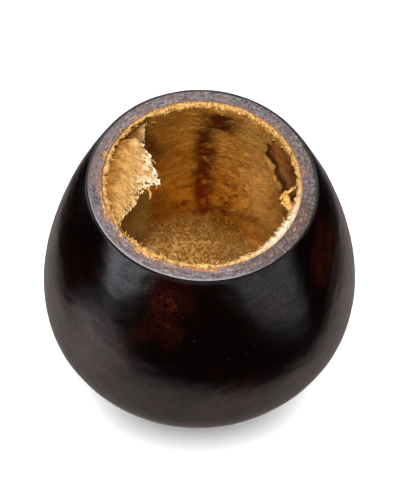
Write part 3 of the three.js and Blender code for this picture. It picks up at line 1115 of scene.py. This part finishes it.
def hanging_grid(edge, across, outwards, root, fall, thickness, lumps, lace, seed):
    """Points of a layer of pith that hangs inwards from the wall, rough on its face and torn at its edge."""
    form = Outline(shape())
    root_angle, edge_angle, reach = through(edge, across).T
    root_angle, edge_angle = np.radians(root_angle), np.radians(edge_angle)
    depth, below = root
    root_r, root_z = form.wall(form.cut_share(depth, root_angle, below), depth)
    t = np.linspace(0, 1, outwards)[:, None]
    ring = on_circle(root_r, root_angle, root_z)
    fray = 0.55 * relief(ring, 2.4, 4, 3) + 0.5 * relief(ring, 0.9, 2, 8)
    fray = fray * (0.25 + 0.75 * smoothstep(np.degrees(root_angle), 182, 168))
    out = t * np.maximum(reach + fray * t**2, 0.2)
    z = root_z - fall * out + 0.1 * reach * np.sin(np.pi * t)
    middle = place(root_r - out, z, root_angle + (edge_angle - root_angle) * t)
    rough = lumps * (relief(middle, 5.0, 3, 1 + seed) + 0.6 * relief(middle, 1.5, 3, 4 + seed))
    middle[..., 2] += rough * smoothstep(t, 0.02, 0.3)
    middle[..., 2] += 0.9 * smoothstep(t, 0.8, 1.0) * relief(middle, 1.2, 2, 5)
    thick = thickness * (1 - 0.5 * t**3) * (1 + 0.35 * relief(middle, 1.1, 2, 6))
    holes = relief(middle, 0.7, 3, 2) + 0.35 * relief(middle, 3.0, 2, 7)
    cell = (holes[:-1, :-1] + holes[1:, 1:]) / 2
    near_edge = smoothstep(t[:-1] + 0.5 / outwards, 0.62, 1.0) * np.ones_like(cell)
    keep = cell < 0.7 - lace * near_edge
    keep[0] = True
    whole = np.ones_like(thick)
    half = (0, 0, 0.5) * thick[..., None]
    grid = {"front": middle + half, "back": middle - half, "out": t * whole, "angle": root_angle * whole}
    grid = {key: values[:, ::-1] for key, values in grid.items()}
    return grid, keep[:, ::-1]


def sheet_grid():
    sizes = shape()
    return hanging_grid(
        SHEET_EDGE, across=200, outwards=70, root=(5.0, 2.2), fall=sizes.sheet_fall,
        thickness=mm(sizes.sheet_thickness), lumps=0.5, lace=0.62, seed=0,
    )


def hang(name, grid, keep, material, paleness=1.0):
    """The layer as a piece, paler towards its torn edge."""
    out = grid["out"]
    attributes = {"edge": paleness * smoothstep(out, 0.8, 1.0), "root": 1 - out}
    side = 0.3 + 0.7 * smoothstep(np.degrees(grid["angle"]), 190, 174)
    attributes["pale"] = 0.9 * paleness * smoothstep(out, 0.45, 1.0) * side
    # Painted shade at the root of the sheet's left side
    attributes["shaded_crack"] = smoothstep(out, 0.16, 0.03) * smoothstep(np.degrees(grid["angle"]), 172, 156)
    own(torn_layer(name, grid["front"], grid["back"], keep, False, False, [material], attributes), "pith")


class GOURD_OT_sheet(bpy.types.Operator):
    """Build the loose sheet of pith that hangs into the mouth and the fold behind it"""

    bl_idname = "gourd.sheet"
    bl_label = "Loose sheet and fold"

    def execute(self, context):
        hang("loose_sheet", *sheet_grid(), pith("loose_sheet_pith", finish().sheet_gold))
        fold = hanging_grid(
            FOLD_EDGE, across=90, outwards=40, root=(6.3, 3.4), fall=0.05,
            thickness=1.2, lumps=0.85, lace=0.25, seed=20,
        )
        # The fold's darker colour is painted shade
        hang("pith_fold", *fold, pith("folded_pith", finish().fold_shaded_brown), paleness=0.4)
        return {"FINISHED"}


class GOURD_OT_strands(bpy.types.Operator):
    """Build the torn strands: the bridge at the right, the sheet's tip and the fold's pale edge"""

    bl_idname = "gourd.strands"
    bl_label = "Torn strands"

    around = 14

    def execute(self, context):
        points, faces, start = [], [], 0
        straw = fibre_pith("strand_pith", STRAND_SHADES)
        for number, path in enumerate(STRANDS):
            steps = 14 * len(path)
            angle, r, z, width = through(path, steps).T
            middle = place(r, z, np.radians(angle))
            bends = [relief(middle, 1.4, 3, number + shift) for shift in (1, 31, 61)]
            middle += 0.3 * np.stack(bends, axis=-1)
            along = np.gradient(middle, axis=0)
            along /= np.linalg.norm(along, axis=1, keepdims=True)
            side = np.cross(along, (0, 0, 1.0))
            side /= np.linalg.norm(side, axis=1, keepdims=True)
            over = np.cross(side, along)
            turn = np.arange(self.around) / self.around * 2 * np.pi
            ring = np.cos(turn)[:, None] * side[:, None] + 0.6 * np.sin(turn)[:, None] * over[:, None]
            ends = np.sqrt(np.clip(1 - np.abs(np.linspace(-1, 1, steps)) ** 8, 0, 1))
            tube = middle[:, None] + ring * (width * ends)[:, None, None]
            swell = 1 + 0.75 * relief(tube, 1.2, 4, number) + 0.5 * relief(tube, 0.4, 3, number + 5)
            swell = np.maximum(swell, 0.3)
            tube = middle[:, None] + (tube - middle[:, None]) * swell[..., None]
            strand = np.concatenate([middle[:1], tube[1:-1].reshape(-1, 3), middle[-1:]])
            made, _ = turned_faces(steps, self.around)
            faces += [tuple(start + c for c in face) for face in made]
            points.append(strand)
            start += len(strand)
        points = np.concatenate(points)
        tone = np.clip(0.45 + 0.8 * relief(points, 0.8, 4), 0, 1)
        piece = new_piece("torn_strands", points, faces, [straw], None, {"tone": tone})
        own(piece, "pith")
        return {"FINISHED"}


def open_patch(name, grid, pick, density):
    """A copy of part of the pith's face that carries a density, for scattering on."""
    front = grid["front"]
    rows, sides = front.shape[:2]
    number = np.arange(rows * sides).reshape(rows, sides)
    faces = []
    for j in range(rows - 1):
        for i in range(sides):
            if pick[j, i]:
                k = (i + 1) % sides
                corners = (number[j, i], number[j, k], number[j + 1, k], number[j + 1, i])
                faces.append(tuple(int(c) for c in corners))
    return new_piece(name, front.reshape(-1, 3), faces, [], None, {"density": density})


class GOURD_OT_granules(bpy.types.Operator):
    """Scatter the spongy granules of the bed"""

    bl_idname = "gourd.granules"
    bl_label = "Bed granules"

    def execute(self, context):
        sizes = shape()
        grid = pith_grid(sizes, 150, 90)
        density = smoothstep(grid["grains"], 0.02, 0.4)
        pick = (grid["grains"] > 0.01) & (grid["share"] > 0.012)
        host = open_patch("bed_granules", grid, pick, density)
        grow_lumps(
            host, sizes.granule_spacing, sizes.granule_size, squash=0.74,
            material=granule_pith(), seed=sizes.seed, segments=8, rings=4,
        )
        own(host, "pith")
        return {"FINISHED"}


class GOURD_OT_fibres(bpy.types.Operator):
    """Scatter loose fibres on the wall, fluff and crumbs along the cut edge, and the sheet's fringe"""

    bl_idname = "gourd.fibres"
    bl_label = "Fibres and crumbs"

    def execute(self, context):
        sizes = shape()
        straw = fibre_pith("pith_fluff", FLUFF_SHADES)
        wall_straw = fibre_pith("pith_fibres", FIBRE_SHADES)
        grid = pith_grid(sizes, 220, 110)
        holes = np.minimum(grid["right"], grid["left"])
        kept = holes > 1.02
        patch = smoothstep(relief(grid["front"], 12, 2, 2), 0.05, 0.5)
        spots = sum(
            near_angle(grid["angle"], angle, wide) * bump(grid["height"], height, tall)
            for angle, height, wide, tall in FIBRE_SPOTS
        )
        torn = np.exp(-np.maximum(holes - 1, 0) * 12)
        sunny = smoothstep(grid["front"][..., 0], 4, 16) * smoothstep(grid["front"][..., 2], 12, 20)
        stain = near_angle(grid["angle"], DARK_STAIN, 12)
        density = np.clip(0.012 * patch + 0.25 * spots + 0.12 * torn + 0.16 * sunny, 0, 1)
        density = density * kept * (1 - stain)
        wisps = open_patch("pith_fibres", grid, kept & (grid["bed"] < 0.3), density)
        grow_fibres(
            wisps, 0.0012, sizes.fibre_length, sizes.fibre_radius, lie=1.4,
            material=wall_straw, seed=sizes.seed,
        )
        own(wisps, "pith")
        brink = smoothstep(grid["drop"], 2.0, 0.3)
        fluff = open_patch("edge_fluff", grid, (brink > 0.01) & kept, brink)
        grow_fibres(fluff, 0.0007, 0.0008, 0.00012, lie=1.3, material=straw, seed=sizes.seed + 2)
        own(fluff, "pith")
        crumbs = open_patch("edge_crumbs", grid, (brink > 0.01) & kept, 0.2 * brink)
        grow_lumps(
            crumbs, 0.0007, 0.0004, squash=0.7, material=straw, seed=sizes.seed + 1, segments=6, rings=4
        )
        own(crumbs, "pith")
        sheet, whole = sheet_grid()
        lacy = near_angle(sheet["angle"], LACE, 13) * smoothstep(sheet["out"], 0.66, 0.95)
        pick = np.zeros(lacy.shape, bool)
        pick[:-1, :-1] = whole & (lacy[:-1, :-1] > 0.05)
        fringe = open_patch("sheet_fringe", sheet, pick, lacy)
        grow_fibres(fringe, 0.00055, 0.0017, 0.00008, lie=0.9, material=straw, seed=sizes.seed + 3)
        own(fringe, "pith")
        return {"FINISHED"}


class GOURD_OT_stage(bpy.types.Operator):
    """Set up the floor, the camera and the light"""

    bl_idname = "gourd.stage"
    bl_label = "Stage"

    def execute(self, context):
        scene, values = context.scene, studio()
        scene.view_settings.view_transform = "Standard"
        self.camera(scene, values)
        self.floor(values)
        self.card(values)
        self.light(values)
        self.room(scene, values)
        return {"FINISHED"}

    def camera(self, scene, values):
        data = bpy.data.cameras.new("camera")
        data.lens = values.lens
        data.sensor_width = 36
        data.clip_start, data.clip_end = 0.01, 20
        eye = bpy.data.objects.new("camera", data)
        back = Vector((0, -math.cos(values.view_height), math.sin(values.view_height)))
        eye.location = Vector((values.aim_side, 0, values.aim_height)) + back * values.view_distance
        eye.rotation_mode = "QUATERNION"
        eye.rotation_quaternion = (-back).to_track_quat("-Z", "Y")
        scene.collection.objects.link(eye)
        scene.camera = eye

    def plane(self, name, size, height, material):
        half = size / 2
        corners = [(x * half, y * half, height) for x, y in ((-1, -1), (1, -1), (1, 1), (-1, 1))]
        sheet = new_piece(name, mm(np.array(corners)), [(0, 1, 2, 3)], [material])
        sheet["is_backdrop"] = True
        return sheet

    def floor(self, values):
        s = Shader("paper_floor")
        s.bsdf.inputs["Emission Color"].default_value = (1, 1, 1, 1)
        beside = s.range(s.axes()[1], -0.041, -0.02)
        around = s.range(s.distance(s.place), 0.09, 0.16)
        glow = s.times(s.math("MAXIMUM", beside, around), values.paper)
        s.feed(s.bsdf.inputs["Emission Strength"], glow)
        self.plane("floor", 6.0, 0.0, s.done((0.9, 0.9, 0.9), 0.9))

    def card(self, values):
        """What the lacquer reflects in place of the floor: pale paper near the gourd and bright panels."""
        s = Shader("reflection_card")
        x, y, _ = s.axes()
        flat = s.combine(x, y)
        far = s.distance(flat)
        disc = s.times_plus(x, s.range(y, 0.0, -0.05, 0.0, 0.24), far)
        paper = s.times(s.range(disc, 0.113, 0.091), s.range(y, 0.06, -0.05, 0.3, 0.5))
        paper = s.times(paper, s.range(far, 0.05, 0.08, 0.6, 1.0))
        light = s.plus(paper, s.range(s.distance(flat, CARD_PATCH), 0.062, 0.0, 0, 0.6))
        for first, second, strength, start, full in CARD_PANELS:
            panel = s.range(far, start, full, 0, strength)
            for towards, distance, soft in (first, second):
                aim = (math.cos(math.radians(towards)), math.sin(math.radians(towards)), 0)
                reach = s.vector("DOT_PRODUCT", flat, aim, output=1)
                panel = s.times(panel, s.range(reach, distance - soft, distance + soft))
            light = s.plus(light, panel)
        tint = s.mix(s.range(far, 0.1, 0.15), (1.0, 0.83, 0.8), (0.93, 0.94, 1.03))
        glow = s.first("ShaderNodeEmission", {"Color": tint, "Strength": s.times(light, values.card)})
        s.tree.links.new(glow, s.tree.nodes["Material Output"].inputs["Surface"])
        sheet = self.plane("reflection_card", 4.0, 0.00015, s.material)
        for ray in ("camera", "diffuse", "transmission", "volume_scatter", "shadow"):
            setattr(sheet, "visible_" + ray, False)

    def light(self, values):
        key = bpy.data.lights.new("key", "AREA")
        key.shape = "RECTANGLE"
        key.size, key.size_y = KEY_SIZE
        key.energy = values.key
        self.hang(key, KEY_SPOT, (0, 0, 0))
        snoot = bpy.data.lights.new("snoot", "SPOT")
        snoot.spot_size = math.radians(SNOOT_ANGLE)
        snoot.spot_blend = 0.5
        snoot.shadow_soft_size = SNOOT_SIZE
        snoot.energy = values.snoot
        self.hang(snoot, SNOOT_SPOT, SNOOT_AIM)

    def hang(self, data, spot, aim):
        lamp = bpy.data.objects.new(data.name, data)
        lamp.location = spot
        lamp.rotation_mode = "QUATERNION"
        lamp.rotation_quaternion = (Vector(aim) - lamp.location).to_track_quat("-Z", "Y")
        lamp.visible_glossy = False
        bpy.context.scene.collection.objects.link(lamp)

    def room(self, scene, values):
        world = bpy.data.worlds.new("studio")
        world.use_nodes = True
        glow = world.node_tree.nodes["Background"].inputs
        glow["Color"].default_value = (1, 1, 1, 1)
        glow["Strength"].default_value = values.sky
        scene.world = world


class GOURD_PT_panel(bpy.types.Panel):
    """Buttons that build the gourd piece by piece"""

    bl_label = "Dried Bottle Gourd"
    bl_idname = "GOURD_PT_panel"
    bl_space_type = "VIEW_3D"
    bl_region_type = "UI"
    bl_category = "Gourd"

    def draw(self, context):
        for operator in OPERATORS:
            self.layout.operator(operator.bl_idname)
        for group in (shape(), finish(), studio()):
            box = self.layout.box()
            for key in group.bl_rna.properties.keys():
                if key not in ("rna_type", "name"):
                    box.prop(group, key)


GROUPS = (GourdShape, GourdFinish, GourdStudio)
OPERATORS = (
    GOURD_OT_rind,
    GOURD_OT_pith,
    GOURD_OT_sheet,
    GOURD_OT_strands,
    GOURD_OT_granules,
    GOURD_OT_fibres,
    GOURD_OT_stage,
)


def register():
    for item in (*GROUPS, *OPERATORS, GOURD_PT_panel):
        bpy.utils.register_class(item)
    bpy.types.Scene.gourd_shape = PointerProperty(type=GourdShape)
    bpy.types.Scene.gourd_finish = PointerProperty(type=GourdFinish)
    bpy.types.Scene.gourd_studio = PointerProperty(type=GourdStudio)


def unregister():
    del bpy.types.Scene.gourd_shape, bpy.types.Scene.gourd_finish, bpy.types.Scene.gourd_studio
    for item in reversed((*GROUPS, *OPERATORS, GOURD_PT_panel)):
        bpy.utils.unregister_class(item)


def main():
    register()
    bpy.ops.gourd.stage()
    bpy.ops.gourd.rind()
    bpy.ops.gourd.pith()
    bpy.ops.gourd.sheet()
    bpy.ops.gourd.strands()
    bpy.ops.gourd.granules()
    bpy.ops.gourd.fibres()
    sizes = {"cad": CAD_BOX, "visual": [list(corner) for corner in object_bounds()]}


if __name__ == "__main__":
    main()
